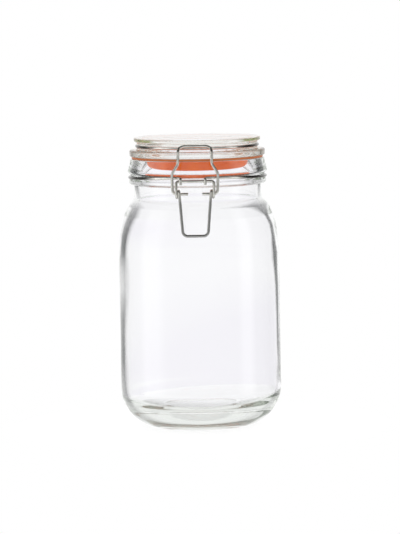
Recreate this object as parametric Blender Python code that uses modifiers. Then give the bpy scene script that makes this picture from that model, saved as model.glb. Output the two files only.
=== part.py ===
"""Clip-top preserving jar: a round clear glass body with a glass lid, a rubber sealing ring and a
sprung wire clip. Metres, +Z up, origin at the centre of the base, the clip facing -Y.

The lever turns in two hooks of the neck wire, and the bail turns in the two eyes of the lever."""

import math

import bpy
from mathutils import Vector

# Body of the jar.
BODY_RADIUS = 0.0595
BODY_WALL = 0.0035
HEEL_RADIUS = 0.0300
INNER_HEEL_RADIUS = 0.0120
FLOOR_HEIGHT = 0.0160
FLOOR_CROWN = 0.0017
FOOT_WIDTH = 0.0030
PUSH_UP = 0.0070
PUSH_UP_RUN = 0.0075
PUSH_UP_RING = 0.0040
SHOULDER_START = 0.1300
SHOULDER_RADIUS = 0.0900
SHOULDER_TOP = 0.1650
SHOULDER_BREAK = 0.1580
SHOULDER_TOP_RADIUS = 0.0522
INNER_SHOULDER_TOP = 0.1636
INNER_SHOULDER_RADIUS = 0.0482
NECK_RADIUS = 0.0473
NECK_BOTTOM = 0.1710
BORE_RADIUS = 0.0432
BORE_BOTTOM = 0.1692

# Finish: the bead that carries the ring, the groove for the wire, the bead below it.
RIM_HEIGHT = 0.1998
RIM_RADIUS = 0.0494
BEAD_RADIUS = 0.0519
BEAD_BOTTOM = 0.1900
GROOVE_RADIUS = 0.0486
GROOVE_TOP = 0.1876
GROOVE_BOTTOM = 0.1856
LOWER_BEAD_RADIUS = 0.05075
LOWER_BEAD_TOP = 0.1842
LOWER_BEAD_BOTTOM = 0.1811

# Lid.
LID_TOP = 0.2154
LID_DISC_RADIUS = 0.0469
LID_DISC_BOTTOM = 0.2130
LID_CHAMFER_BOTTOM = 0.2112
LID_WAIST_RADIUS = 0.0449
LID_GROOVE_RADIUS = 0.0434
LID_GROOVE_PLAY = 0.0004
LID_WAIST_FOOT = (0.0455, 0.2071)
FLANGE_RADIUS = 0.0504
FLANGE_TOP = 0.2063
FLANGE_BOTTOM = 0.2016
FLANGE_BOTTOM_RADIUS = 0.0501
PLUG_ROOT_RADIUS = 0.0402
PLUG_TIP_RADIUS = 0.0363
PLUG_BOTTOM = 0.1942
PLUG_WIDTH = 0.0048
LID_CEILING = 0.2055
LID_CEILING_EDGE = (0.0285, 0.2045)

# Sealing ring: flat on the rim, its inner part turned down round the plug.
RING_RADIUS = 0.0486
RING_THICKNESS = 0.0012
RING_BEND_RADIUS = 0.04135
RING_LIP_RADIUS = 0.0379
RING_LIP_BOTTOM = 0.1912
RING_LIP_WIDTH = 0.0020
GAP = 0.0003

# Wires.
WIRE_RADIUS = 0.00105
EYE_RADIUS = 0.00245
LID_WIRE_RADIUS = 0.04485
LID_WIRE_HEIGHT = 0.2092
NECK_WIRE_RADIUS = 0.05035
NECK_WIRE_HEIGHT = 0.1861
NECK_WIRE_LIFT = 0.00215
NECK_WIRE_STAND_OFF = 0.00155
HOOKS_X = (-0.0105, 0.0075)
HOOK_DROP = 0.0024

# Lever and bail, seen from the side: the lever's axis, then the bail's.
LEVER_AXIS = Vector((0, -0.0542, 0.1858))
BAIL_AXIS = Vector((0, -0.0550, 0.1766))
LEVER_ARM_X = 0.0138
HANDLE_TOP_X = 0.0115
HANDLE_BOTTOM_X = 0.0091
HANDLE_END = (-0.0598, 0.1463)
BAIL_FOOT_X = 0.0163
BAIL_LEG_X = 0.0168
BAIL_TOP_X = 0.0123
BAIL_LEG_TOP = (-0.0542, 0.1913)
BAIL_NECK = (-0.0526, 0.1986)
BAIL_KNEE = (-0.0508, 0.2072)
BAIL_CORNER = (-0.0475, 0.2096)
BAIL_CORNER_X = 0.0117
BAIL_BAR = (-0.0467, 0.2110)
BAIL_BAR_X = 0.0085
PIN_END_X = 0.0052

# Rear hinge: a bar of the neck wire, held by two eyes of the lid wire.
HINGE_Y = 0.0542
HINGE_Z = 0.1985
HINGE_BAR_X = 0.0130
HINGE_EYE_X = 0.0093
HINGE_EYE_TURN = 250

# Fillets of the turned outlines, and bends of the wires.
FINE_FILLET = 0.0004
SMALL_FILLET = 0.0007
EDGE_FILLET = 0.0010
BEAD_FILLET = 0.0014
ROUND_FILLET = 0.0020
SOFT_FILLET = 0.0030
WIDE_FILLET = 0.0040
TIGHT_BEND = 0.0012
WIRE_BEND = 0.0020
HANDLE_BEND = 0.0037
BAIL_NECK_BEND = 0.0045

TURNED_STEPS = 44
WIRE_BEND_STEP = math.radians(22.5)
FILLET_STEP = math.radians(45)
WELD = 0.00001


def clear_scene():
    for obj in list(bpy.data.objects):
        bpy.data.objects.remove(obj)


def material(name, colour, roughness, metallic=0.0, transmission=0.0):
    made = bpy.data.materials.new(name)
    made.use_nodes = True
    shader = made.node_tree.nodes["Principled BSDF"]
    shader.inputs["Base Color"].default_value = (*colour, 1.0)
    shader.inputs["Roughness"].default_value = roughness
    shader.inputs["Metallic"].default_value = metallic
    shader.inputs["Transmission Weight"].default_value = transmission
    return made


def arc(centre, radius, start, end, steps):
    """Points of an arc in the (radius, height) plane, its angles in degrees from the outward axis."""
    angles = [math.radians(start + (end - start) * i / steps) for i in range(steps + 1)]
    return [(centre[0] + radius * math.cos(a), centre[1] + radius * math.sin(a)) for a in angles]


def rounded(corners, bend_step=WIRE_BEND_STEP):
    """The path through the corners, each a point and a bend radius, with an arc at each bend."""
    path = []
    for i, (point, radius) in enumerate(corners):
        point = Vector(point)
        if radius == 0 or i in (0, len(corners) - 1):
            path.append(point)
            continue
        back = (Vector(corners[i - 1][0]) - point).normalized()
        ahead = (Vector(corners[i + 1][0]) - point).normalized()
        half = back.angle(ahead) / 2
        sweep = math.pi - 2 * half
        if sweep < math.radians(2):
            path.append(point)
            continue
        reach = radius / math.tan(half)
        middle = (back + ahead).normalized()
        centre = point + middle * (radius / math.sin(half))
        start = point + back * reach - centre
        steps = max(1, round(sweep / bend_step))
        for k in range(steps + 1):
            turn = sweep * k / steps
            path.append(centre + start * math.cos(turn) - back * radius * math.sin(turn))
    return path


def profile(*corners):
    """A turned outline's points, from corners of radius, height and fillet."""
    return rounded([((r, 0, z), fillet) for r, z, fillet in corners], FILLET_STEP)


def turned(name, points, closed, finish, collection):
    """A solid of revolution about Z, from an outline that runs down its outer side."""
    mesh = bpy.data.meshes.new(name)
    count = len(points)
    edges = [(i, i + 1) for i in range(count - 1)]
    if closed:
        edges.append((count - 1, 0))
    mesh.from_pydata(points, edges, [])
    obj = bpy.data.objects.new(name, mesh)
    collection.objects.link(obj)
    obj.data.materials.append(finish)
    screw = obj.modifiers.new("Turn", "SCREW")
    screw.steps = TURNED_STEPS
    screw.render_steps = TURNED_STEPS
    screw.use_merge_vertices = True
    screw.merge_threshold = WELD
    screw.use_smooth_shade = True
    return obj


def wire(name, points, origin, cyclic, finish, collection):
    """A round wire bent along the points, with its object's origin on its axis of motion."""
    curve = bpy.data.curves.new(name, "CURVE")
    curve.dimensions = "3D"
    curve.bevel_depth = WIRE_RADIUS
    curve.bevel_resolution = 2
    curve.use_fill_caps = not cyclic
    spline = curve.splines.new("POLY")
    spline.points.add(len(points) - 1)
    for target, point in zip(spline.points, points):
        target.co = (*(Vector(point) - origin), 1)
    spline.use_cyclic_u = cyclic
    spline.use_smooth = True
    obj = bpy.data.objects.new(name, curve)
    collection.objects.link(obj)
    obj.data.materials.append(finish)
    obj.location = origin
    return obj


def mirrored(points):
    """The points and then their mirror image in X, as one path."""
    other = [Vector((-p[0], p[1], p[2])) for p in reversed(points)]
    return list(points) + other


def jar_body(finish, collection):
    """Glass shell, from the middle of the inside floor, up the inside, over the rim and down outside."""
    inner_radius = BODY_RADIUS - BODY_WALL
    inner_heel = (inner_radius - INNER_HEEL_RADIUS, FLOOR_HEIGHT + INNER_HEEL_RADIUS)
    shoulder = (BODY_RADIUS - SHOULDER_RADIUS, SHOULDER_START)
    inner_shoulder = SHOULDER_RADIUS - BODY_WALL
    reach = math.degrees(math.asin((SHOULDER_BREAK - SHOULDER_START) / SHOULDER_RADIUS))
    heel = (BODY_RADIUS - HEEL_RADIUS, HEEL_RADIUS)
    foot = BODY_RADIUS - HEEL_RADIUS - FOOT_WIDTH

    inside = [(0, FLOOR_HEIGHT + FLOOR_CROWN)]
    inside += arc(inner_heel, INNER_HEEL_RADIUS, -90, 0, 5)
    inside += arc(shoulder, inner_shoulder, 0, reach, 3)
    outside = arc(shoulder, SHOULDER_RADIUS, reach, 0, 3)
    outside += arc(heel, HEEL_RADIUS, 0, -90, 7)

    corners = [(r, z, 0) for r, z in inside]
    corners += [
        (INNER_SHOULDER_RADIUS, INNER_SHOULDER_TOP, SOFT_FILLET),
        (BORE_RADIUS, BORE_BOTTOM, SOFT_FILLET),
        (BORE_RADIUS, RIM_HEIGHT, EDGE_FILLET),
        (RIM_RADIUS, RIM_HEIGHT, FINE_FILLET),
        (BEAD_RADIUS, BEAD_BOTTOM, ROUND_FILLET),
        (GROOVE_RADIUS, GROOVE_TOP, FINE_FILLET),
        (GROOVE_RADIUS, GROOVE_BOTTOM, FINE_FILLET),
        (LOWER_BEAD_RADIUS, LOWER_BEAD_TOP, SMALL_FILLET),
        (LOWER_BEAD_RADIUS, LOWER_BEAD_BOTTOM, BEAD_FILLET),
        (NECK_RADIUS, LOWER_BEAD_BOTTOM, SMALL_FILLET),
        (NECK_RADIUS, NECK_BOTTOM, BEAD_FILLET),
        (SHOULDER_TOP_RADIUS, SHOULDER_TOP, WIDE_FILLET),
    ]
    corners += [(r, z, 0) for r, z in outside]
    corners += [
        (foot, 0, EDGE_FILLET),
        (foot - PUSH_UP_RUN, PUSH_UP_RING, WIDE_FILLET),
        (0, PUSH_UP, 0),
    ]
    return turned("jar_body", profile(*corners), False, finish, collection)


def lid(finish, collection):
    """Glass lid: a disc over a wire groove, a flange on the ring, and a hollow plug in the mouth."""
    groove_half = WIRE_RADIUS + LID_GROOVE_PLAY
    groove_top = LID_WIRE_HEIGHT + groove_half
    groove_bottom = LID_WIRE_HEIGHT - groove_half
    points = profile(
        (0, LID_TOP, 0),
        (LID_DISC_RADIUS, LID_TOP, EDGE_FILLET),
        (LID_DISC_RADIUS, LID_DISC_BOTTOM, SMALL_FILLET),
        (LID_WAIST_RADIUS, LID_CHAMFER_BOTTOM, FINE_FILLET),
        (LID_WAIST_RADIUS, groove_top, 0),
        (LID_GROOVE_RADIUS, groove_top, FINE_FILLET),
        (LID_GROOVE_RADIUS, groove_bottom, FINE_FILLET),
        (LID_WAIST_RADIUS, groove_bottom, 0),
        (*LID_WAIST_FOOT, SMALL_FILLET),
        (FLANGE_RADIUS, FLANGE_TOP, BEAD_FILLET),
        (FLANGE_BOTTOM_RADIUS, FLANGE_BOTTOM, EDGE_FILLET),
        (PLUG_ROOT_RADIUS, FLANGE_BOTTOM, SMALL_FILLET),
        (PLUG_TIP_RADIUS, PLUG_BOTTOM, EDGE_FILLET),
        (PLUG_TIP_RADIUS - PLUG_WIDTH, PLUG_BOTTOM, EDGE_FILLET),
        (*LID_CEILING_EDGE, WIDE_FILLET),
        (0, LID_CEILING, 0),
    )
    return turned("lid", points, False, finish, collection)


def sealing_ring(finish, collection):
    """Rubber ring: outer edge, flat underside, and the lip that the plug turns down."""
    top = FLANGE_BOTTOM - GAP
    bottom = top - RING_THICKNESS
    start = ((RING_RADIUS + PLUG_ROOT_RADIUS) / 2, top, 0)
    corners = [
        start,
        (RING_RADIUS, top, FINE_FILLET),
        (RING_RADIUS, bottom, FINE_FILLET),
        (RING_BEND_RADIUS, bottom, EDGE_FILLET),
        (RING_LIP_RADIUS, RING_LIP_BOTTOM, SMALL_FILLET),
        (RING_LIP_RADIUS - RING_LIP_WIDTH, RING_LIP_BOTTOM, SMALL_FILLET),
        (PLUG_ROOT_RADIUS + GAP, top, FINE_FILLET),
        start,
    ]
    return turned("sealing_ring", profile(*corners)[:-1], True, finish, collection)


def eye(axis, x_start, x_end, start, turn, steps):
    """Points of a wire coiled round an axis along X: angles in degrees, from outward and downward."""
    points = []
    outward = math.copysign(1, axis[0])
    for i in range(steps + 1):
        angle = math.radians(start + turn * i / steps)
        x = x_start + (x_end - x_start) * i / steps
        y = axis[0] + outward * EYE_RADIUS * math.cos(angle)
        points.append(Vector((x, y, axis[1] - EYE_RADIUS * math.sin(angle))))
    return points


def lid_wire(finish, collection):
    """The lid's wire: an eye on the rear bar, over the flange, round the groove, and back."""
    half_gap = math.asin(HINGE_EYE_X / LID_WIRE_RADIUS)
    ring_steps = TURNED_STEPS // 2 - 2
    ring = []
    for i in range(1, ring_steps + 1):
        angle = (math.pi - half_gap) * (1 - i / ring_steps)
        ring.append(Vector((math.sin(angle), -math.cos(angle), 0)) * LID_WIRE_RADIUS)
    for point in ring:
        point.z = LID_WIRE_HEIGHT
    root_y = LID_WIRE_RADIUS * math.cos(half_gap)
    loop = eye((HINGE_Y, HINGE_Z), HINGE_EYE_X, HINGE_EYE_X, HINGE_EYE_TURN, -HINGE_EYE_TURN, 10)
    arm = rounded([
        (loop[-1], 0),
        ((HINGE_EYE_X, HINGE_Y + EYE_RADIUS, LID_WIRE_HEIGHT), WIRE_BEND),
        ((HINGE_EYE_X, root_y, LID_WIRE_HEIGHT), TIGHT_BEND),
        (ring[0], 0),
    ])
    half = loop[:-1] + arm[:-1] + ring[:-1]
    front = [ring[-1]]
    other = [Vector((-p.x, p.y, p.z)) for p in reversed(half)]
    return wire("lid_wire", half + front + other, Vector(), False, finish, collection)


def neck_wire_point(angle):
    """A point of the neck wire, at an angle from the front: the clip pulls its front up and out."""
    pull = max(0.0, math.cos(angle)) ** 2
    radius = NECK_WIRE_RADIUS + NECK_WIRE_STAND_OFF * pull
    height = NECK_WIRE_HEIGHT + NECK_WIRE_LIFT * pull
    return Vector((radius * math.sin(angle), -radius * math.cos(angle), height))


def neck_wire_side(hook_x, side):
    """One side of the neck wire, from the tip of its hook to the middle of the rear bar."""
    front_radius = NECK_WIRE_RADIUS + NECK_WIRE_STAND_OFF
    lever_y, lever_z = LEVER_AXIS.y, LEVER_AXIS.z
    over_bar = lever_z + EYE_RADIUS
    start = side * math.asin(hook_x / front_radius)
    end = math.pi - math.asin(HINGE_BAR_X / NECK_WIRE_RADIUS)
    steps = TURNED_STEPS // 2 - 3
    ring = [neck_wire_point(start + (end - start) * i / steps) for i in range(steps + 1)]
    ring = [Vector((side * p.x, p.y, p.z)) for p in ring]
    front = lever_y - EYE_RADIUS
    hook = rounded([
        ((hook_x, front, lever_z - HOOK_DROP), 0),
        ((hook_x, front, over_bar), EYE_RADIUS - WELD),
        ((hook_x, ring[0].y, over_bar), TIGHT_BEND),
        (ring[1], 0),
    ])
    bar_x = side * HINGE_BAR_X
    bridge = rounded([
        (ring[-2], 0),
        (ring[-1], TIGHT_BEND),
        ((bar_x, HINGE_Y, NECK_WIRE_HEIGHT), WIRE_BEND),
        ((bar_x, HINGE_Y, HINGE_Z), WIRE_BEND),
        ((0, HINGE_Y, HINGE_Z), 0),
    ])
    return hook + ring[2:-2] + bridge


def neck_wire(finish, collection):
    """The neck's wire: two front hooks, a ring under the bead, and the raised bar of the hinge."""
    left = neck_wire_side(HOOKS_X[0], -1)
    right = neck_wire_side(HOOKS_X[1], 1)
    points = left[:-1] + list(reversed(right))
    return wire("neck_wire", points, Vector(), False, finish, collection)


def lever(finish, collection):
    """Lever: a bar in the hooks, an arm to each eye, one turn of eye, and the handle's long loop."""
    reach = BAIL_AXIS - LEVER_AXIS
    lean = math.degrees(math.atan2(-reach.y, -reach.z))
    arm_lean = lean + math.degrees(math.asin(EYE_RADIUS / reach.length))
    axis = (BAIL_AXIS.y, BAIL_AXIS.z)
    handle_rise = BAIL_AXIS.z - HANDLE_END[1]
    handle_out = BAIL_AXIS.y - EYE_RADIUS - HANDLE_END[0]
    handle_lean = math.degrees(math.atan2(handle_out, handle_rise))
    turn = 360 + arm_lean - handle_lean
    coil = eye(axis, LEVER_ARM_X, HANDLE_TOP_X, -arm_lean, turn, 18)
    arm = rounded([
        ((0, LEVER_AXIS.y, LEVER_AXIS.z), 0),
        ((LEVER_ARM_X, LEVER_AXIS.y, LEVER_AXIS.z), WIRE_BEND),
        (coil[0], 0),
    ])
    handle = rounded([
        (coil[-1], 0),
        ((HANDLE_BOTTOM_X, *HANDLE_END), HANDLE_BEND),
        ((0, *HANDLE_END), 0),
    ])
    half = arm[1:-1] + coil + handle[1:-1]
    return wire("lever", mirrored(half), LEVER_AXIS, True, finish, collection)


def bail(finish, collection):
    """Bail: the bar over the lid's wire, two legs down past the flange, and a pin in each eye."""
    half = rounded([
        ((PIN_END_X, BAIL_AXIS.y, BAIL_AXIS.z), 0),
        ((BAIL_FOOT_X, BAIL_AXIS.y, BAIL_AXIS.z), SOFT_FILLET),
        ((BAIL_LEG_X, *BAIL_LEG_TOP), BAIL_NECK_BEND),
        ((BAIL_TOP_X, *BAIL_NECK), BAIL_NECK_BEND),
        ((BAIL_TOP_X, *BAIL_KNEE), WIRE_BEND),
        ((BAIL_CORNER_X, *BAIL_CORNER), TIGHT_BEND),
        ((BAIL_BAR_X, *BAIL_BAR), HANDLE_BEND),
        ((0, *BAIL_BAR), 0),
    ])
    return wire("bail", mirrored(half[:-1]), BAIL_AXIS, False, finish, collection)


def main():
    clear_scene()
    parts = bpy.data.collections.new("clip_top_jar")
    bpy.context.scene.collection.children.link(parts)
    glass = material("jar_glass", (0.97, 0.98, 0.97), 0.02, transmission=1.0)
    lid_glass = material("lid_glass", (0.93, 0.95, 0.91), 0.02, transmission=1.0)
    rubber = material("ring_rubber", (0.58, 0.12, 0.02), 0.55)
    steels = {}
    for name in ("lid_wire", "neck_wire", "lever", "bail"):
        steels[name] = material(f"{name}_steel", (0.62, 0.62, 0.60), 0.25, metallic=1.0)
    jar_body(glass, parts)
    lid(lid_glass, parts)
    sealing_ring(rubber, parts)
    lid_wire(steels["lid_wire"], parts)
    neck_wire(steels["neck_wire"], parts)
    lever_object = lever(steels["lever"], parts)
    bail_object = bail(steels["bail"], parts)
    bail_object.parent = lever_object
    bail_object.location = BAIL_AXIS - LEVER_AXIS


main()
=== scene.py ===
"""Clip-top preserving jar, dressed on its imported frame: pressed glass body and lid, rubber sealing
ring, and the drawn steel wires of its hinge and clip. Metres, +Z up, the clip facing -Y."""

import math

import bmesh
import bpy
from mathutils import Euler, Matrix, Vector


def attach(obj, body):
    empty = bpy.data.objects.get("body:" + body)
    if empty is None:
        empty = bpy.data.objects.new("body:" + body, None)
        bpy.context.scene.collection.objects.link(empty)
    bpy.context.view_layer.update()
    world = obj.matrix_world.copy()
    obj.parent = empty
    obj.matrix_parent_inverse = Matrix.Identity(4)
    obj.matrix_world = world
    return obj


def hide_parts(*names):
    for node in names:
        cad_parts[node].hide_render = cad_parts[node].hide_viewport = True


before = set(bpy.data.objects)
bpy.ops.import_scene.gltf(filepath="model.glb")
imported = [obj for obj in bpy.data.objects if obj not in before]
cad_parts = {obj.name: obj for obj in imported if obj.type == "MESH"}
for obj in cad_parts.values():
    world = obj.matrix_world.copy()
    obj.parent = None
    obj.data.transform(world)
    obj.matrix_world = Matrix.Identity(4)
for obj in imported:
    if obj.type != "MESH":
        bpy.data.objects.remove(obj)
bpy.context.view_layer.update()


# --- Jar body -----------------------------------------------------------------------------------
# One gather of soda-lime glass, pressed and blown into a mould: a floor with a pushed-up middle on a
# narrow foot, a straight wall, a drawn-in shoulder, and a finish of two beads with the groove for the
# neck wire between them. The mould leaves the outside smooth; the blow leaves the wall uneven.

OUTSIDE_RADIUS = 0.0595
INSIDE_RADIUS = 0.0560
OUTSIDE_SHOULDER = (0.05504, 0.1580)
INSIDE_SHOULDER = (0.05172, 0.15688)
INSIDE_SHIFT = 0.0009
SHIFT_FROM = 0.020
SHIFT_TO = 0.160
SHIFT_FADE = 0.015
FLOOR_RADIUS = 0.0465
THIN_WALL = 0.002
TURNING_STEPS = 160
WELD = 0.000002
STRAIGHT = 0.01
WALL_STEPS = (0.127, 0.116, 0.105, 0.094, 0.083, 0.072, 0.061, 0.050, 0.038)
GLASS_TINT = "#FCFCFD"
GLASS_DEPTH = "#BAC6B2"
GLASS_DENSITY = 3.2
LINE_SHADE_GREY = "#101413"
LINE_FROM_HEIGHT = 0.006
LINE_BLEND = 0.04
LINE_PARTS = ("line_place", "line_width", "line_depth")

# The line where the wall turns light back, by height: its place, half width and darkness. Place and
# width are turns of the skin from the eye, where 0 is square on and 1 is edge-on.
LEFT_LINE = (
    (0.013, 0.75, 0.22, 0.25), (0.022, 0.70, 0.13, 0.60), (0.036, 0.79, 0.20, 0.70),
    (0.045, 0.82, 0.22, 0.95), (0.056, 0.77, 0.16, 1.00), (0.070, 0.77, 0.15, 0.90),
    (0.088, 0.76, 0.18, 0.80), (0.101, 0.72, 0.18, 0.40), (0.112, 0.73, 0.20, 0.35),
    (0.122, 0.76, 0.23, 0.50), (0.132, 0.68, 0.12, 0.92), (0.140, 0.68, 0.14, 0.92),
    (0.153, 0.66, 0.16, 0.75), (0.159, 0.57, 0.14, 0.62), (0.164, 0.52, 0.10, 0.50),
    (0.1662, 0.72, 0.25, 0.45), (0.1685, 0.75, 0.20, 0.40), (0.170, 0.70, 0.06, 0.0),
    (0.1712, 0.63, 0.09, 0.0), (0.1723, 0.63, 0.09, 1.0), (0.1808, 0.76, 0.15, 1.0),
    (0.1815, 0.55, 0.30, 0.35), (0.184, 0.55, 0.30, 0.40), (0.185, 0.62, 0.20, 0.0),
    (0.186, 0.62, 0.20, 0.0), (0.187, 0.62, 0.20, 0.85), (0.190, 0.61, 0.17, 0.95),
    (0.194, 0.60, 0.15, 0.85), (0.200, 0.62, 0.12, 0.35),
)
RIGHT_LINE = (
    (0.013, 0.62, 0.15, 0.15), (0.022, 0.66, 0.08, 0.35), (0.035, 0.72, 0.04, 0.10),
    (0.045, 0.77, 0.03, 0.45), (0.056, 0.76, 0.06, 0.90), (0.078, 0.76, 0.06, 1.00),
    (0.101, 0.76, 0.09, 1.00), (0.112, 0.74, 0.08, 1.00), (0.122, 0.70, 0.10, 1.00),
    (0.131, 0.70, 0.12, 0.90), (0.138, 0.66, 0.08, 0.85), (0.146, 0.68, 0.07, 0.78),
    (0.158, 0.61, 0.06, 0.75), (0.1635, 0.58, 0.12, 0.50), (0.1655, 0.58, 0.36, 0.60),
    (0.1685, 0.70, 0.30, 0.40), (0.170, 0.70, 0.06, 0.0), (0.1712, 0.73, 0.09, 0.0),
    (0.1723, 0.73, 0.09, 1.0), (0.1808, 0.745, 0.10, 1.0), (0.1815, 0.50, 0.26, 0.35),
    (0.184, 0.50, 0.26, 0.35), (0.185, 0.58, 0.15, 0.0), (0.188, 0.57, 0.15, 0.80),
    (0.194, 0.58, 0.15, 1.0), (0.200, 0.60, 0.14, 0.60),
)


def linear(code):
    """The linear colour of an sRGB hex code, with its alpha."""
    shades = [int(code[i:i + 2], 16) / 255 for i in (1, 3, 5)]
    return (*[s / 12.92 if s <= 0.04045 else ((s + 0.055) / 1.055) ** 2.4 for s in shades], 1.0)


def node(tree, kind, inputs=None, stops=(), **settings):
    """Adds a node with its settings, its inputs as values or as links from other sockets, and the stops
    of a colour ramp, each a position and a grey or a colour."""
    made = tree.nodes.new(kind)
    for name, value in settings.items():
        setattr(made, name, value)
    for name, value in (inputs or {}).items():
        if isinstance(value, bpy.types.NodeSocket):
            tree.links.new(value, made.inputs[name])
        else:
            made.inputs[name].default_value = value
    if stops:
        elements = made.color_ramp.elements
        while len(elements) < len(stops):
            elements.new(0.5)
        for element, (position, shade) in zip(elements, stops):
            element.position = position
            element.color = shade if isinstance(shade, tuple) else (shade, shade, shade, 1.0)
    return made


def blank(name):
    """A new node material with its output alone."""
    made = bpy.data.materials.new(name)
    made.use_nodes = True
    made.node_tree.nodes.clear()
    return made


def pick(obj, wanted):
    """Selects the vertices of the edited mesh that the test wants, and the edges and faces of those."""
    bpy.ops.mesh.select_all(action="DESELECT")
    mesh = bmesh.from_edit_mesh(obj.data)
    for vertex in mesh.verts:
        vertex.select = wanted(vertex.co)
    mesh.select_flush(True)
    bmesh.update_edit_mesh(obj.data)


def drawn(name, corners, bend=10):
    """A line drawn from corner to corner, each a point and the radius of its bend, left in edit mode."""
    bpy.ops.object.select_all(action="DESELECT")
    bpy.ops.mesh.primitive_plane_add(size=0.001)
    piece = bpy.context.object
    piece.name = piece.data.name = name
    bpy.ops.object.mode_set(mode="EDIT")
    bpy.ops.mesh.select_all(action="SELECT")
    bpy.ops.mesh.merge(type="CENTER")
    bpy.ops.mesh.select_all(action="SELECT")
    points = [Vector(point) for point, _ in corners]
    bpy.ops.transform.translate(value=points[0])
    for before, point in zip(points, points[1:]):
        bpy.ops.mesh.extrude_region_move(TRANSFORM_OT_translate={"value": point - before})
    for i in range(1, len(corners) - 1):
        radius = corners[i][1]
        turn = math.pi - (points[i - 1] - points[i]).angle(points[i + 1] - points[i])
        if radius and turn > STRAIGHT:
            pick(piece, lambda at: (at - points[i]).length < WELD)
            reach = radius * math.tan(turn / 2)
            steps = max(2, round(math.degrees(turn) / bend))
            bpy.ops.mesh.bevel(offset=reach, segments=steps, affect="VERTICES")
    return piece


def turned(piece):
    """Turns the drawn outline about Z into a closed solid and smooths its shading."""
    bpy.ops.mesh.select_all(action="SELECT")
    bpy.ops.mesh.spin(steps=TURNING_STEPS, angle=math.tau, center=(0, 0, 0), axis=(0, 0, 1))
    bpy.ops.mesh.select_all(action="SELECT")
    bpy.ops.mesh.remove_doubles(threshold=WELD)
    bpy.ops.mesh.normals_make_consistent(inside=False)
    bpy.ops.object.mode_set(mode="OBJECT")
    bpy.ops.object.shade_smooth()
    return piece


def outline(*corners):
    """Corners of radius, height and fillet as points of the XZ plane."""
    return [((radius, 0, height), fillet) for radius, height, fillet in corners]


def glass(name, depth_colour, depth_density):
    """Clear soda-lime glass: its index bends what is behind it, and its iron takes some red and blue
    from the light on long ways through it, so that only thick ends look green. Returns the material,
    its shader and how far the skin turns from the eye, for more to be worked into the colour."""
    made = blank(name)
    tree = made.node_tree
    output = node(tree, "ShaderNodeOutputMaterial")
    facing = node(tree, "ShaderNodeLayerWeight", {"Blend": 0.5}).outputs["Facing"]
    place = node(tree, "ShaderNodeTexCoord").outputs["Object"]
    # Swells of about 25 mm in the surface, a few hundredths of a millimetre deep.
    swell = node(tree, "ShaderNodeTexNoise", {"Vector": place, "Scale": 40.0, "Detail": 1.0})
    bump = node(tree, "ShaderNodeBump", {
        "Height": swell.outputs["Fac"],
        "Distance": 0.0002,
        "Strength": 0.5,
    })
    shader = node(tree, "ShaderNodeBsdfPrincipled", {
        "Base Color": linear(GLASS_TINT),
        "Roughness": 0.0,
        "IOR": 1.52,
        "Transmission Weight": 1.0,
        "Normal": bump.outputs["Normal"],
    })
    depth = node(tree, "ShaderNodeVolumeAbsorption", {
        "Color": linear(depth_colour),
        "Density": depth_density,
    })
    tree.links.new(shader.outputs["BSDF"], output.inputs["Surface"])
    tree.links.new(depth.outputs["Volume"], output.inputs["Volume"])
    return made, shader, facing


def at_height(table, height):
    """The row of a table at a height, between its own rows, and its last or first one beyond them."""
    for low, high in zip(table, table[1:]):
        if height <= high[0]:
            share = max(0.0, (height - low[0]) / (high[0] - low[0]))
            return [a + (b - a) * share for a, b in zip(low[1:], high[1:])]
    return table[-1][1:]


jar_outline = outline(
    (0, 0.0177, 0),
    (INSIDE_RADIUS, 0.0160, 0.0120),
    (INSIDE_RADIUS, 0.14378, 0.0865),
    (*INSIDE_SHOULDER, 0.0100),
    (0.0482, 0.1636, 0.0030),
    (0.0432, 0.1692, 0.0030),
    (0.0432, 0.1998, 0.0010),
    (0.0494, 0.1998, 0.0005),
    (0.0519, 0.1900, 0.0020),
    (0.0486, 0.1876, 0.0004),
    (0.0486, 0.1856, 0.0004),
    (0.05075, 0.1842, 0.0007),
    (0.05075, 0.1811, 0.0014),
    (0.0473, 0.1811, 0.0007),
    (0.0473, 0.1710, 0.0014),
    (0.0522, 0.1650, 0.0040),
    (*OUTSIDE_SHOULDER, 0.0200),
    (OUTSIDE_RADIUS, 0.14434, 0.0900),
    *[(OUTSIDE_RADIUS, height, 0) for height in WALL_STEPS],
    (OUTSIDE_RADIUS, 0, 0.0300),
    (0.0265, 0, 0.0025),
    (0.0190, 0.0040, 0.0080),
    (0, 0.0070, 0),
)
jar = turned(drawn("jar_glass_body", jar_outline, bend=5))

# The blow leaves the inside a little off centre, so that the left wall is the thicker one.
for vertex in jar.data.vertices:
    spot = vertex.co
    radius = math.hypot(spot.x, spot.y)
    if SHIFT_FROM < spot.z < SHIFT_TO and FLOOR_RADIUS < radius < OUTSIDE_RADIUS - THIN_WALL:
        share = min(1.0, (spot.z - SHIFT_FROM) / SHIFT_FADE, (SHIFT_TO - spot.z) / SHIFT_FADE)
        spot.x += INSIDE_SHIFT * share

# Where the wall is thick, light that enters near its edge turns back inside it; the dark line that this
# makes down both sides of the jar is painted shade. The skin holds where it is, how wide and how dark.
for name in LINE_PARTS:
    jar.data.attributes.new(name, "FLOAT", "POINT")
for vertex in jar.data.vertices:
    spot = vertex.co
    outward = vertex.normal.x * spot.x + vertex.normal.y * spot.y > 0
    on_left = max(0.0, min(1.0, 0.5 - spot.x / LINE_BLEND))
    left_row, right_row = at_height(LEFT_LINE, spot.z), at_height(RIGHT_LINE, spot.z)
    row = [b + (a - b) * on_left for a, b in zip(left_row, right_row)]
    # The shader lets the root of its colour through each surface, so the darkness is stored for that.
    row[2] = 1 - (1 - row[2]) ** 2
    if not outward or spot.z < LINE_FROM_HEIGHT:
        row[2] = 0.0
    for name, value in zip(LINE_PARTS, row):
        jar.data.attributes[name].data[vertex.index].value = value

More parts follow.
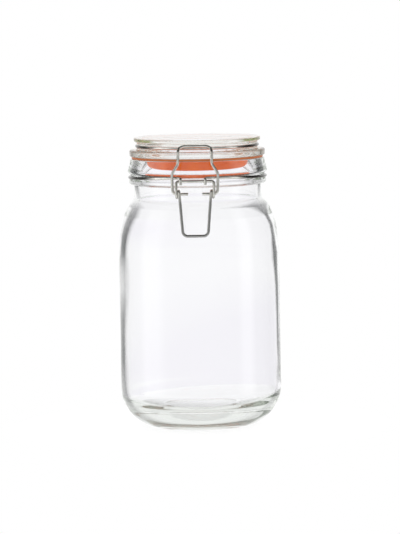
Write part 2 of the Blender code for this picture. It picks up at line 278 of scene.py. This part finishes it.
jar_glass, shader, facing = glass("pressed_soda_lime_glass", GLASS_DEPTH, GLASS_DENSITY)
tree = jar_glass.node_tree
line_place, line_width, line_depth = [
    node(tree, "ShaderNodeAttribute", attribute_name=name).outputs["Fac"] for name in LINE_PARTS
]
aside = node(tree, "ShaderNodeMath", {0: facing, 1: line_place}, operation="SUBTRACT").outputs[0]
aside = node(tree, "ShaderNodeMath", {0: aside}, operation="ABSOLUTE").outputs[0]
aside = node(tree, "ShaderNodeMath", {0: aside, 1: line_width}, operation="DIVIDE").outputs[0]
# Dark up to half its half width from the middle, and gone a fifth past it.
inside = node(tree, "ShaderNodeMapRange", {
    "Value": aside, "From Min": 0.5, "From Max": 1.2, "To Min": 1.0, "To Max": 0.0,
}).outputs["Result"]
# The painted shade of the line, mixed into the glass's colour.
amount = node(tree, "ShaderNodeMath", {0: inside, 1: line_depth}, operation="MULTIPLY").outputs[0]
colour = node(tree, "ShaderNodeMix", {
    0: amount, 6: linear(GLASS_TINT), 7: linear(LINE_SHADE_GREY),
}, data_type="RGBA").outputs[2]
tree.links.new(colour, shader.inputs["Base Color"])
jar.data.materials.append(jar_glass)
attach(jar, "jar")
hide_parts("jar_body")


# --- Sealing ring -------------------------------------------------------------------------------
# The ring is moulded from natural rubber, dyed orange. It lies on the rim, and the lid's plug
# turns its inner part down into the mouth. It only touches the dry glass, so a film of air a tenth
# of a millimetre thick is left on both sides, and the glass mirrors at it.

RUBBER = "#FF7004"
RUBBER_DARK = "#EE6202"
RUBBER_DUST_AND_SHEEN = "#E9C4AE"
RUBBER_SHADED = "#8C6A58"
RUBBER_EDGE_SHADE = "#B4663A"
EDGE_SHADE_FROM = 0.0478
EDGE_SHADE_TO = 0.0484
FACES_INWARD = 0.8
FACES_UP = 0.8
FACES_DOWN = -0.9
FILM = 0.00010

ring_outline = outline(
    (0.0444, 0.2016 - FILM, 0),
    (0.0486, 0.2016 - FILM, 0.0005),
    (0.0486, 0.1998 + FILM, 0.0005),
    (0.04135, 0.1998 + FILM, 0.0010),
    (0.0379, 0.1912, 0.0007),
    (0.0359, 0.1912, 0.0007),
    (0.0398, 0.2016 - FILM, 0.0002),
    (0.0444, 0.2016 - FILM, 0),
)
ring = turned(drawn("rubber_sealing_ring", ring_outline))

# The faces round the lid's plug keep the pale dusting that rings are packed with; the faces under the
# lid are marked for a pale painted sheen, and the face on the rim for a painted shade.
dusting = ring.data.attributes.new("dusting", "FLOAT", "POINT")
top_sheen = ring.data.attributes.new("top_sheen", "FLOAT", "POINT")
shading = ring.data.attributes.new("shading", "FLOAT", "POINT")
for vertex in ring.data.vertices:
    way = vertex.normal
    inward = -(way.x * vertex.co.x + way.y * vertex.co.y) / math.hypot(vertex.co.x, vertex.co.y)
    dusting.data[vertex.index].value = float(inward > FACES_INWARD)
    top_sheen.data[vertex.index].value = float(way.z > FACES_UP)
    shading.data[vertex.index].value = float(way.z < FACES_DOWN)

# Moulded rubber: matt, with clouds in the dye about 8 mm across, and a fine grain that is drawn at
# 0.7 mm, coarser than the real one, so that it shows.
rubber = blank("moulded_orange_rubber")
tree = rubber.node_tree
place = node(tree, "ShaderNodeTexCoord").outputs["Object"]
cloud = node(tree, "ShaderNodeTexNoise", {"Vector": place, "Scale": 120.0, "Detail": 3.0})
grain = node(tree, "ShaderNodeTexNoise", {"Vector": place, "Scale": 1500.0, "Detail": 2.0})
bump = node(tree, "ShaderNodeBump", {"Height": grain.outputs["Fac"], "Distance": 0.0001, "Strength": 0.3})
# Its outer edge, in the shadow under the flange, is painted brown as shade.
across = node(tree, "ShaderNodeVectorMath", {0: place, 1: (1.0, 1.0, 0.0)}, operation="MULTIPLY").outputs[0]
reach = node(tree, "ShaderNodeVectorMath", {0: across}, operation="LENGTH").outputs["Value"]
edge_shade = node(tree, "ShaderNodeMapRange", {
    "Value": reach, "From Min": EDGE_SHADE_FROM, "From Max": EDGE_SHADE_TO,
}).outputs["Result"]
dyed = node(tree, "ShaderNodeValToRGB", {"Fac": cloud.outputs["Fac"]}, (
    (0.35, linear(RUBBER_DARK)), (0.65, linear(RUBBER)),
)).outputs["Color"]
skin = node(tree, "ShaderNodeMix", {
    0: edge_shade, 6: dyed, 7: linear(RUBBER_EDGE_SHADE),
}, data_type="RGBA").outputs[2]
# Talc lies all over inside the lip; on top a pale painted sheen shows at a low angle only.
low = node(tree, "ShaderNodeLayerWeight", {"Blend": 0.5}).outputs["Facing"]
sheen = node(tree, "ShaderNodeMapRange", {
    "Value": low, "From Min": 0.40, "From Max": 0.72,
}).outputs["Result"]
top = node(tree, "ShaderNodeAttribute", attribute_name="top_sheen").outputs["Fac"]
sheen = node(tree, "ShaderNodeMath", {0: sheen, 1: top}, operation="MULTIPLY").outputs[0]
dust_and_sheen = node(tree, "ShaderNodeAttribute", attribute_name="dusting").outputs["Fac"]
dust_and_sheen = node(tree, "ShaderNodeMath", {0: dust_and_sheen, 1: sheen}, operation="MAXIMUM").outputs[0]
skin = node(tree, "ShaderNodeMix", {
    0: dust_and_sheen, 6: skin, 7: linear(RUBBER_DUST_AND_SHEEN),
}, data_type="RGBA").outputs[2]
# The face on the rim is painted a duller, darker colour as shade.
shaded = node(tree, "ShaderNodeAttribute", attribute_name="shading").outputs["Fac"]
skin = node(tree, "ShaderNodeMix", {
    0: shaded, 6: skin, 7: linear(RUBBER_SHADED),
}, data_type="RGBA").outputs[2]
# The slight glow stands for the light that comes through thin rubber.
shader = node(tree, "ShaderNodeBsdfPrincipled", {
    "Base Color": skin,
    "Emission Color": skin,
    "Emission Strength": 0.26,
    "Roughness": 0.45,
    "Specular IOR Level": 0.2,
    "IOR": 1.5,
    "Normal": bump.outputs["Normal"],
})
node(tree, "ShaderNodeOutputMaterial", {"Surface": shader.outputs["BSDF"]})
ring.data.materials.append(rubber)
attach(ring, "jar")
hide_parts("sealing_ring")


# --- Lid ----------------------------------------------------------------------------------------
# The lid is pressed from thicker glass: a disc over the groove for its wire, a rounded flange
# that bears on the ring, and a hollow plug that centres it in the mouth.

LID_EDGE = "#757C48"
FLANGE_EDGE = "#5E5446"
LID_DEPTH = "#B4BE8C"
LID_DENSITY = 2.0
DISC_EDGE_FROM = 0.2115
FLANGE_EDGE_FROM = 0.2014
FLANGE_EDGE_TO = 0.2066
FLANGE_EDGE_RADIUS = 0.0490
DISC_TURN = 0.22
FLANGE_TURN = 0.26
NO_TURN = 2.0

lid_outline = outline(
    (0, 0.2154, 0),
    (0.0469, 0.2154, 0.0010),
    (0.0469, 0.2130, 0.0007),
    (0.0449, 0.2112, 0.0004),
    (0.0449, 0.21065, 0.0002),
    (0.0434, 0.21065, 0.0004),
    (0.0434, 0.20775, 0.0004),
    (0.0449, 0.20775, 0.0002),
    (0.0455, 0.2071, 0.0004),
    (0.0504, 0.2063, 0.0014),
    (0.0501, 0.2016, 0.0010),
    (0.0402, 0.2016, 0.0007),
    (0.0363, 0.1942, 0.0010),
    (0.0315, 0.1942, 0.0010),
    (0.0285, 0.2045, 0.0040),
    (0, 0.2055, 0),
)
lid = turned(drawn("lid_glass_pressing", lid_outline, bend=5))

# An upright edge that turns away shows the length of the glass behind it, and is painted olive there.
# The skin holds from which turn on it is painted, and how brown it is where the rubber shows through it.
edge_start = lid.data.attributes.new("edge_start", "FLOAT", "POINT")
edge_brown = lid.data.attributes.new("edge_brown", "FLOAT", "POINT")
for vertex in lid.data.vertices:
    spot = vertex.co
    radius = math.hypot(spot.x, spot.y)
    upright = abs(vertex.normal.z) < 0.5
    on_disc = upright and spot.z > DISC_EDGE_FROM
    on_flange = FLANGE_EDGE_FROM < spot.z < FLANGE_EDGE_TO and radius > FLANGE_EDGE_RADIUS
    start = DISC_TURN if on_disc else FLANGE_TURN if on_flange else NO_TURN
    edge_start.data[vertex.index].value = start
    edge_brown.data[vertex.index].value = float(on_flange)

lid_glass, shader, facing = glass("thick_pressed_glass", LID_DEPTH, LID_DENSITY)
tree = lid_glass.node_tree
start = node(tree, "ShaderNodeAttribute", attribute_name="edge_start").outputs["Fac"]
beyond = node(tree, "ShaderNodeMath", {0: facing, 1: start}, operation="SUBTRACT").outputs[0]
brown = node(tree, "ShaderNodeAttribute", attribute_name="edge_brown").outputs["Fac"]
# The disc's edge goes olive within a small turn, the flange's goes brown bit by bit.
turn = node(tree, "ShaderNodeMapRange", {
    "Value": brown, "To Min": 0.13, "To Max": 0.45,
}).outputs["Result"]
amount = node(tree, "ShaderNodeMapRange", {
    "Value": beyond, "From Min": 0.0, "From Max": turn,
}).outputs["Result"]
edge = node(tree, "ShaderNodeMix", {
    0: brown, 6: linear(LID_EDGE), 7: linear(FLANGE_EDGE),
}, data_type="RGBA").outputs[2]
# Paints the edge's olive and brown into the glass's colour.
colour = node(tree, "ShaderNodeMix", {
    0: amount, 6: linear(GLASS_TINT), 7: edge,
}, data_type="RGBA").outputs[2]
tree.links.new(colour, shader.inputs["Base Color"])
lid.data.materials.append(lid_glass)
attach(lid, "jar")
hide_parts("lid")


# --- Lid wire -----------------------------------------------------------------------------------
# Drawn steel wire, bent round the lid's groove, bright in front and painted darker at the sides as
# shade. Its two ends run back over the flange and curl round the hinge bar at the back.

WIRE_RADIUS = 0.00105
COIL_RADIUS = 0.00245
HINGE_Y = 0.0542
HINGE_HEIGHT = 0.1985
HINGE_EYE_X = 0.0093
HINGE_EYE_TURN = 250
HINGE_EYE_STEPS = 28
LID_WIRE_RADIUS = 0.04485
LID_WIRE_HEIGHT = 0.2092
STEEL = "#EDECE6"
STEEL_DULL = "#C6C5BE"
STEEL_SHADED_AT_SIDES = "#4E4D48"
GROOVE_SHADE_X = (0.029, 0.038)
ROUND_STEPS = 96


def coil(axis_y, axis_z, x_start, x_end, start, turn, steps):
    """Points of a wire wound round an axis along X: angles in degrees, from outward and down."""
    points = []
    outward = math.copysign(1, axis_y)
    for i in range(steps + 1):
        angle = math.radians(start + turn * i / steps)
        x = x_start + (x_end - x_start) * i / steps
        y = axis_y + outward * COIL_RADIUS * math.cos(angle)
        points.append(((x, y, axis_z - COIL_RADIUS * math.sin(angle)), 0))
    return points


def mirrored(piece):
    """Completes half of a drawn line with its mirror image in X."""
    bpy.ops.object.mode_set(mode="OBJECT")
    bpy.ops.object.modifier_add(type="MIRROR")
    piece.modifiers["Mirror"].merge_threshold = WELD
    bpy.ops.object.modifier_apply(modifier="Mirror")
    return piece


def wire(piece):
    """Gives a drawn line the thickness of the wire, with flat cut ends, as a mesh."""
    if piece.mode == "EDIT":
        bpy.ops.object.mode_set(mode="OBJECT")
    bpy.ops.object.convert(target="CURVE")
    piece.data.bevel_depth = WIRE_RADIUS
    piece.data.bevel_resolution = 6
    piece.data.use_fill_caps = True
    bpy.ops.object.convert(target="MESH")
    bpy.ops.object.mode_set(mode="EDIT")
    bpy.ops.mesh.select_all(action="SELECT")
    bpy.ops.mesh.remove_doubles(threshold=WELD)
    bpy.ops.mesh.normals_make_consistent(inside=False)
    bpy.ops.object.mode_set(mode="OBJECT")
    bpy.ops.object.shade_smooth_by_angle(angle=math.radians(40))
    return piece


def drawn_steel(name, shaded_colour, axis, lit_end, shaded_end):
    """Drawn steel: the die leaves a film that is brighter in patches of about 3 mm, and fine marks that
    are drawn at a quarter of a millimetre so that they show. Along part of its length, between two
    distances on the axis given, the wire is painted a darker colour as shade."""
    made = blank(name)
    tree = made.node_tree
    place = node(tree, "ShaderNodeTexCoord").outputs["Object"]
    patches = node(tree, "ShaderNodeTexNoise", {"Vector": place, "Scale": 350.0, "Detail": 3.0})
    marks = node(tree, "ShaderNodeTexNoise", {"Vector": place, "Scale": 4000.0, "Detail": 2.0})
    bump = node(tree, "ShaderNodeBump", {
        "Height": marks.outputs["Fac"],
        "Distance": 0.00003,
        "Strength": 0.2,
    })
    film = node(tree, "ShaderNodeValToRGB", {"Fac": patches.outputs["Fac"]}, (
        (0.3, linear(STEEL_DULL)), (0.7, linear(STEEL)),
    )).outputs["Color"]
    # Where along the axis the painted shade comes in.
    along = node(tree, "ShaderNodeSeparateXYZ", {"Vector": place}).outputs[axis]
    away = node(tree, "ShaderNodeMath", {0: along}, operation="ABSOLUTE").outputs[0]
    shade_share = node(tree, "ShaderNodeMapRange", {
        "Value": away, "From Min": lit_end, "From Max": shaded_end,
    }).outputs["Result"]
    film = node(tree, "ShaderNodeMix", {
        0: shade_share, 6: film, 7: linear(shaded_colour),
    }, data_type="RGBA").outputs[2]
    shader = node(tree, "ShaderNodeBsdfPrincipled", {
        "Base Color": film,
        "Metallic": 1.0,
        "Roughness": 0.14,
        "Normal": bump.outputs["Normal"],
    })
    node(tree, "ShaderNodeOutputMaterial", {"Surface": shader.outputs["BSDF"]})
    return made


# Both wires in the groove are painted darker at the sides, as shade.
groove_steel = drawn_steel("drawn_steel_shaded_at_the_sides", STEEL_SHADED_AT_SIDES, "X", *GROOVE_SHADE_X)

eye_corners = coil(
    HINGE_Y, HINGE_HEIGHT, HINGE_EYE_X, HINGE_EYE_X, HINGE_EYE_TURN, -HINGE_EYE_TURN, HINGE_EYE_STEPS,
)
root_turn = math.asin(HINGE_EYE_X / LID_WIRE_RADIUS)
root_y = LID_WIRE_RADIUS * math.cos(root_turn)
ring_corners = []
for i in range(1, ROUND_STEPS + 1):
    angle = (math.pi - root_turn) * (1 - i / ROUND_STEPS)
    around = (LID_WIRE_RADIUS * math.sin(angle), -LID_WIRE_RADIUS * math.cos(angle), LID_WIRE_HEIGHT)
    ring_corners.append((around, 0))
lid_wire_corners = [
    *eye_corners,
    ((HINGE_EYE_X, HINGE_Y + COIL_RADIUS, LID_WIRE_HEIGHT), 0.0020),
    ((HINGE_EYE_X, root_y, LID_WIRE_HEIGHT), 0.0010),
    *ring_corners,
]
lid_wire = wire(mirrored(drawn("lid_hinge_wire", lid_wire_corners)))
lid_wire.data.materials.append(groove_steel)
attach(lid_wire, "jar")
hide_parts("lid_wire")


# --- Neck wire ----------------------------------------------------------------------------------
# A second wire in the groove under the bead. At the back it rises into the bar of the hinge, and
# at the front the clip's pull lifts its two ends, which hook over the lever's bar.

NECK_WIRE_RADIUS = 0.05035
NECK_WIRE_HEIGHT = 0.1861
NECK_WIRE_LIFT = 0.00215
NECK_WIRE_STAND_OFF = 0.00155
HOOKS_X = (-0.0105, 0.0075)
HOOK_DROP = 0.0024
HINGE_BAR_X = 0.0130
LEVER_AXIS = (-0.0542, 0.1858)


def neck_side(hook_x, side):
    """Corners of one half of the neck wire, from the tip of its hook to the middle of the bar."""
    over_bar = LEVER_AXIS[1] + COIL_RADIUS
    front_y = LEVER_AXIS[0] - COIL_RADIUS
    start = side * math.asin(hook_x / (NECK_WIRE_RADIUS + NECK_WIRE_STAND_OFF))
    end = math.pi - math.asin(HINGE_BAR_X / NECK_WIRE_RADIUS)
    around = []
    for i in range(ROUND_STEPS + 1):
        angle = start + (end - start) * i / ROUND_STEPS
        pull = max(0.0, math.cos(angle)) ** 2
        radius = NECK_WIRE_RADIUS + NECK_WIRE_STAND_OFF * pull
        height = NECK_WIRE_HEIGHT + NECK_WIRE_LIFT * pull
        around.append((side * radius * math.sin(angle), -radius * math.cos(angle), height))
    bar_x = side * HINGE_BAR_X
    return [
        ((hook_x, front_y, LEVER_AXIS[1] - HOOK_DROP), 0),
        ((hook_x, front_y, over_bar), 0.00244),
        ((hook_x, around[0][1], over_bar), 0.0006),
        *[(point, 0) for point in around[2:-2]],
        (around[-1], 0.0010),
        ((bar_x, HINGE_Y, NECK_WIRE_HEIGHT), 0.0020),
        ((bar_x, HINGE_Y, HINGE_HEIGHT), 0.0020),
    ]


left_side = neck_side(HOOKS_X[0], -1)
right_side = neck_side(HOOKS_X[1], 1)
neck_wire = wire(drawn("neck_hook_wire", [*left_side, *reversed(right_side)]))
neck_wire.data.materials.append(groove_steel)
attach(neck_wire, "jar")
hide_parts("neck_wire")


# --- Lever --------------------------------------------------------------------------------------
# One closed loop of wire: the bar that turns in the hooks, an arm down each side, one turn round
# each pin of the bail, and the long handle below.

BAIL_AXIS = (-0.0550, 0.1766)
HANDLE_END = (-0.0598, 0.1463)
LEVER_ARM_X = 0.0138
HANDLE_TOP_X = 0.0115
HANDLE_BOTTOM_X = 0.0091
LEVER_EYE_STEPS = 40
STEEL_SHADED_HANDLE = "#A3A3A1"
HANDLE_SHADE_Z = (0.177, 0.170)

reach_y = BAIL_AXIS[0] - LEVER_AXIS[0]
reach_z = BAIL_AXIS[1] - LEVER_AXIS[1]
lean = math.degrees(math.atan2(-reach_y, -reach_z))
arm_lean = lean + math.degrees(math.asin(COIL_RADIUS / math.hypot(reach_y, reach_z)))
handle_out = BAIL_AXIS[0] - COIL_RADIUS - HANDLE_END[0]
handle_lean = math.degrees(math.atan2(handle_out, BAIL_AXIS[1] - HANDLE_END[1]))
lever_corners = [
    ((0, *LEVER_AXIS), 0),
    ((LEVER_ARM_X, *LEVER_AXIS), 0.0020),
    *coil(
        *BAIL_AXIS, LEVER_ARM_X, HANDLE_TOP_X, -arm_lean, 360 + arm_lean - handle_lean, LEVER_EYE_STEPS,
    ),
    ((HANDLE_BOTTOM_X, *HANDLE_END), 0.0037),
    ((0, *HANDLE_END), 0),
]
lever = wire(mirrored(drawn("clip_lever_wire", lever_corners)))
# The lever's handle, below the bail's pins, is painted darker as shade.
steel = drawn_steel("drawn_steel_shaded_at_the_handle", STEEL_SHADED_HANDLE, "Z", *HANDLE_SHADE_Z)
lever.data.materials.append(steel)
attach(lever, "lever")
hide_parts("lever")


# --- Bail ---------------------------------------------------------------------------------------
# The bail is the loop that pulls the lid down: a bar over the lid's wire, two legs that spread
# past the flange, and a pin at each foot, turned inward through the lever's eye.

bail_corners = [
    ((0.0052, *BAIL_AXIS), 0),
    ((0.0163, *BAIL_AXIS), 0.0030),
    ((0.0168, -0.0542, 0.1913), 0.0045),
    ((0.0123, -0.0526, 0.1986), 0.0045),
    ((0.0123, -0.0508, 0.2072), 0.0020),
    ((0.0117, -0.0475, 0.2096), 0.0012),
    ((0.0085, -0.0467, 0.2110), 0.0037),
    ((0, -0.0467, 0.2110), 0),
]
bail = wire(mirrored(drawn("clip_bail_wire", bail_corners)))
bail.data.materials.append(steel)
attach(bail, "bail")
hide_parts("bail")


# --- Studio -------------------------------------------------------------------------------------
# A lit table of opal acrylic, whose edge is lost in an even white surround. Only gloss sees the
# darker walls of the room, with a tall window of light on the left and on the right.

WHITE = "#FFFFFF"
TABLE_GREY = "#6C6C6C"
TABLE_RADIUS = 0.14
BOUNCES = 128
# Light levels of the surround, which may pass full white.
LOW_WHITE = (0.995, 0.985, 1.015, 1.0)
HIGH_WHITE = (1.05, 1.05, 1.05, 1.0)

bpy.ops.object.select_all(action="DESELECT")
bpy.ops.mesh.primitive_circle_add(vertices=96, radius=TABLE_RADIUS, fill_type="NGON", location=(0, 0, 0))
floor = bpy.context.object
floor.name = "white_table"
# Lit from within, so that it is white up to the foot of the jar and takes hardly any shadow.
lit = blank("lit_white_acrylic")
tree = lit.node_tree
shader = node(tree, "ShaderNodeBsdfPrincipled", {
    "Base Color": linear(TABLE_GREY),
    "Roughness": 0.9,
    "Emission Color": linear(WHITE),
    "Emission Strength": 0.90,
})
node(tree, "ShaderNodeOutputMaterial", {"Surface": shader.outputs["BSDF"]})
floor.data.materials.append(lit)

world = bpy.data.worlds.new("studio_surround")
bpy.context.scene.world = world
world.use_nodes = True
tree = world.node_tree
tree.nodes.clear()
path = node(tree, "ShaderNodeLightPath")
way = node(tree, "ShaderNodeSeparateXYZ", {"Vector": node(tree, "ShaderNodeTexCoord").outputs["Generated"]})
height = node(tree, "ShaderNodeMath", {0: way.outputs["Z"], 1: 0.5, 2: 0.5}, operation="MULTIPLY_ADD")
rise = {"Fac": height.outputs[0]}
# What shows through the glass: a whiter band at eye level and a greyer one overhead.
seen = node(tree, "ShaderNodeValToRGB", rise, (
    (0.0, LOW_WHITE), (0.445, LOW_WHITE), (0.465, HIGH_WHITE), (0.62, 1.0), (0.75, 0.85), (1.0, 1.0),
)).outputs["Color"]
# What gloss mirrors: walls with two windows, going once round the room from the back, a dim ceiling
# and the white table below.
behind = node(tree, "ShaderNodeMath", {0: way.outputs["Y"], 1: -1.0}, operation="MULTIPLY")
turn = node(tree, "ShaderNodeMath", {0: way.outputs["X"], 1: behind.outputs[0]}, operation="ARCTAN2")
share = node(tree, "ShaderNodeMath", {
    0: turn.outputs[0], 1: 0.5 / math.pi, 2: 0.5,
}, operation="MULTIPLY_ADD")
walls = node(tree, "ShaderNodeValToRGB", {"Fac": share.outputs[0]}, (
    (0.0, 1.0), (0.10, 1.0), (0.16, 0.30), (0.24, 0.50), (0.27, 1.4), (0.33, 1.4), (0.37, 0.55),
    (0.43, 0.45), (0.53, 0.45), (0.60, 0.35), (0.66, 0.30), (0.69, 1.2), (0.72, 1.2), (0.75, 0.06),
    (0.84, 0.06), (0.92, 1.0),
)).outputs["Color"]
ceiling = node(tree, "ShaderNodeValToRGB", rise, (
    (0.0, 1.0), (0.72, 1.0), (0.88, 0.10), (1.0, 0.10),
)).outputs["Color"]
glossy = node(tree, "ShaderNodeMix", {
    0: 1.0, 6: ceiling, 7: walls,
}, data_type="RGBA", blend_type="MULTIPLY").outputs[2]
below = node(tree, "ShaderNodeValToRGB", rise, ((0.36, 1.0), (0.42, 0.0))).outputs["Color"]
glossy = node(tree, "ShaderNodeMix", {
    0: below, 6: glossy, 7: linear(WHITE),
}, data_type="RGBA").outputs[2]
# Mirrored light finds that room, light through the glass the surround, and the camera plain white.
mirror = node(tree, "ShaderNodeMath", {
    0: path.outputs["Is Glossy Ray"], 1: path.outputs["Is Reflection Ray"],
}, operation="MULTIPLY").outputs[0]
room = node(tree, "ShaderNodeMix", {0: mirror, 6: seen, 7: glossy}, data_type="RGBA").outputs[2]
final = node(tree, "ShaderNodeMix", {
    0: path.outputs["Is Camera Ray"], 6: room, 7: linear(WHITE),
}, data_type="RGBA").outputs[2]
background = node(tree, "ShaderNodeBackground", {"Color": final, "Strength": 1.0})
node(tree, "ShaderNodeOutputWorld", {"Surface": background.outputs["Background"]})
bpy.context.scene.view_settings.view_transform = "Standard"
# Light turns back many times inside thick glass before it finds its way out.
light_paths = bpy.context.scene.cycles
light_paths.max_bounces = BOUNCES
light_paths.glossy_bounces = BOUNCES
light_paths.transmission_bounces = BOUNCES


# --- Camera -------------------------------------------------------------------------------------
# A long lens a little above the lid and a touch to the jar's right, looking slightly down. Focal
# length and the shift aside are in pixels of the picture, angles in degrees.

DISTANCE = 2.937
CAMERA_HEIGHT = 0.3841
TO_THE_RIGHT = 2.0
DOWNWARD = 5.17
ROLL = -0.99
PICTURE_HEIGHT = 534
FOCAL_LENGTH = 3970
ASIDE = 0.9
SENSOR = 36.0

camera_data = bpy.data.cameras.new("camera")
camera = bpy.data.objects.new("camera", camera_data)
bpy.context.collection.objects.link(camera)
bpy.context.scene.camera = camera
camera_data.sensor_width = SENSOR
camera_data.lens = FOCAL_LENGTH * SENSOR / PICTURE_HEIGHT
camera_data.clip_end = 50.0
azimuth = math.radians(TO_THE_RIGHT)
camera.location = (DISTANCE * math.sin(azimuth), -DISTANCE * math.cos(azimuth), CAMERA_HEIGHT)
aim = Euler((math.radians(90 - DOWNWARD), 0, azimuth - ASIDE / FOCAL_LENGTH)).to_matrix()
camera.rotation_euler = (aim @ Matrix.Rotation(math.radians(ROLL), 3, "Z")).to_euler()
